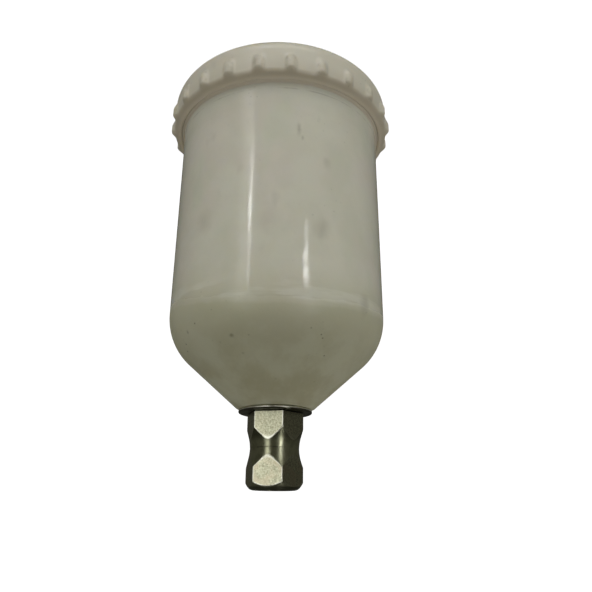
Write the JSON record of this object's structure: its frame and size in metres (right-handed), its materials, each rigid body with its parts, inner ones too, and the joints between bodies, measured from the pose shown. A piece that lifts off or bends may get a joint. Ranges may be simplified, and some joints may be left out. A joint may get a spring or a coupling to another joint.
{
  "type": "gravity-feed paint cup",
  "caption": "Gravity-feed paint cup for a spray gun or airbrush: nylon cup, screw lid with vent and drip check, seals, strainer and turned hex coupler.",
  "frame": {"origin": "centre of the coupler's lower end face, on the cup's axis, where the gun's inlet screws in", "axes": "+Z along the cup's axis from the coupler to the lid; -Y is the side that faces the viewer; +X is to the viewer's right"},
  "size_m": [0.0966, 0.0966, 0.173],
  "materials": {
    "cup_nylon": "translucent natural nylon, glossy, lightly stained",
    "lid_nylon": "translucent natural nylon, satin, grime beside the grip ribs",
    "trim_nylon": "satin white nylon",
    "shield_nylon": "satin natural nylon",
    "seal_nylon": "satin white nylon",
    "strainer_nylon": "satin white nylon",
    "gasket_rubber": "matt black rubber",
    "seal_rubber": "matt black rubber",
    "valve_rubber": "soft black rubber",
    "coupler_steel": "turned waist, grainy bright flats, brownish film",
    "washer_steel": "dull, dirty underside, bright rim",
    "stem_steel": "turned",
    "clip_steel": "bright spring steel",
    "screen_steel": "woven wire mesh"
  },
  "bodies": {
    "cup": {"cup_body": "cup_nylon", "outlet_stem": "stem_steel", "stem_seal": "seal_nylon", "seat_washer": "washer_steel", "hex_coupler": "coupler_steel", "coupler_seal": "seal_nylon"},
    "gasket_ring": {"lid_gasket": "gasket_rubber"},
    "lid_group": {"lid": "lid_nylon", "vent_o_ring": "seal_rubber", "drip_shield": "shield_nylon"},
    "dial_group": {"vent_dial": "trim_nylon", "vent_retainer": "clip_steel"},
    "check_valve": {"drip_check_disc": "valve_rubber"},
    "strainer": {"filter_frame": "strainer_nylon", "filter_screen": "screen_steel"}
  },
  "joints": [
    {"name": "lid_lift", "type": "slide", "parent": "cup", "child": "gasket_ring", "axis": [0, 0, 1], "range_m": [0, 0.016]},
    {"name": "lid_turn", "type": "hinge", "parent": "gasket_ring", "child": "lid_group", "pos_m": [0, 0, 0.1478], "axis": [0, 0, 1], "range_deg": [0, 1440]},
    {"name": "vent_turn", "type": "hinge", "parent": "lid_group", "child": "dial_group", "pos_m": [0, 0, 0.1683], "axis": [0, 0, 1], "range_deg": [0, 90]},
    {"name": "drip_check", "type": "slide", "parent": "lid_group", "child": "check_valve", "axis": [0, 0, 1], "range_m": [0, 0.0016]},
    {"name": "strainer_pull", "type": "slide", "parent": "cup", "child": "strainer", "axis": [0, 0, 1], "range_m": [0, 0.06]}
  ],
  "couplings": [
    {"joint": "lid_lift", "follows": "lid_turn", "m_per_rad": 0.00063662}
  ]
}
